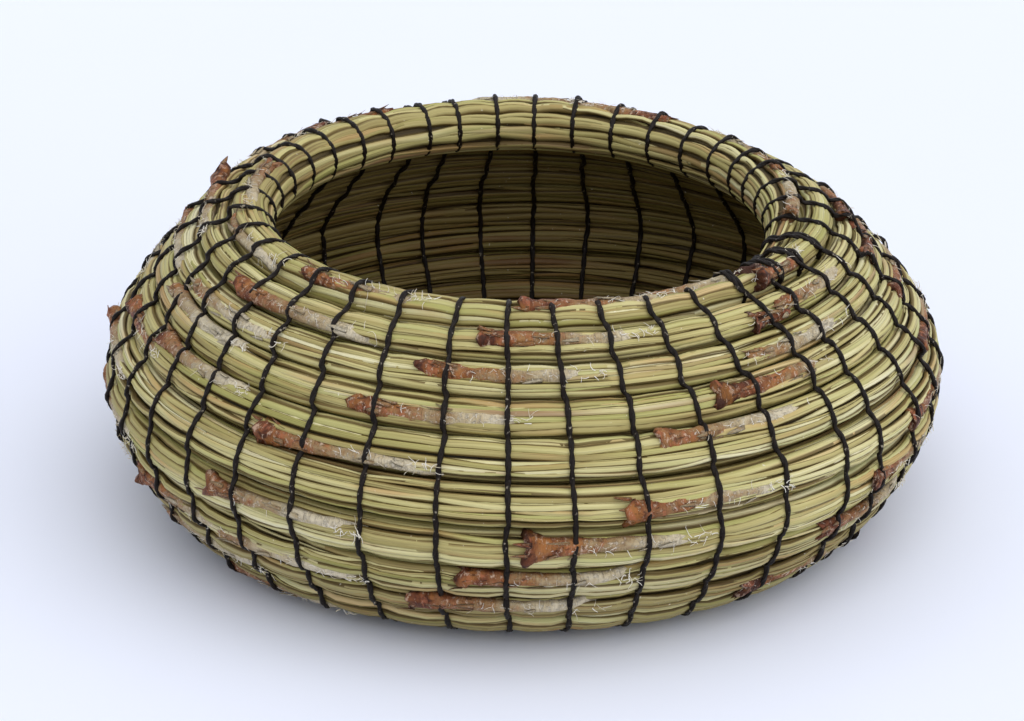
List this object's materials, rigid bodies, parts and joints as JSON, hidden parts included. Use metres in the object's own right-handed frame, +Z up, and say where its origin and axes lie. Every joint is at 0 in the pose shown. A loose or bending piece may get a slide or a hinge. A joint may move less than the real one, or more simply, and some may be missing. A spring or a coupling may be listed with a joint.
{
  "type": "pine needle basket",
  "caption": "Round coiled basket of pine needle bundles with dark thread stitches and an open mouth.",
  "frame": {"origin": "middle of the bounding box at the level of the floor that the foot row stands on", "axes": "+Z up through the mouth, -Y towards the front of the basket, +X to the right seen from the front"},
  "size_m": [0.1414, 0.1419, 0.0549],
  "materials": {
    "pine_needles": "dried straw-green needles, dull, with brown sheath ends",
    "waxed_thread": "black waxed twisted thread"
  },
  "bodies": {
    "root": {"needle_coil": "pine_needles", "stitch_line_01": "waxed_thread", "stitch_line_02": "waxed_thread", "stitch_line_03": "waxed_thread", "stitch_line_04": "waxed_thread", "stitch_line_05": "waxed_thread", "stitch_line_06": "waxed_thread", "stitch_line_07": "waxed_thread", "stitch_line_08": "waxed_thread", "stitch_line_09": "waxed_thread", "stitch_line_10": "waxed_thread", "stitch_line_11": "waxed_thread", "stitch_line_12": "waxed_thread", "stitch_line_13": "waxed_thread", "stitch_line_14": "waxed_thread", "stitch_line_15": "waxed_thread", "stitch_line_16": "waxed_thread", "stitch_line_17": "waxed_thread", "stitch_line_18": "waxed_thread", "stitch_line_19": "waxed_thread", "stitch_line_20": "waxed_thread", "stitch_line_21": "waxed_thread", "stitch_line_22": "waxed_thread", "stitch_line_23": "waxed_thread", "stitch_line_24": "waxed_thread", "stitch_line_25": "waxed_thread", "stitch_line_26": "waxed_thread", "stitch_line_27": "waxed_thread", "stitch_line_28": "waxed_thread", "stitch_line_29": "waxed_thread", "stitch_line_30": "waxed_thread", "stitch_line_31": "waxed_thread", "stitch_line_32": "waxed_thread", "stitch_line_33": "waxed_thread", "stitch_line_34": "waxed_thread", "stitch_line_35": "waxed_thread", "stitch_line_36": "waxed_thread", "stitch_line_37": "waxed_thread", "stitch_line_38": "waxed_thread", "finishing_stitch": "waxed_thread"}
  },
  "joints": []
}
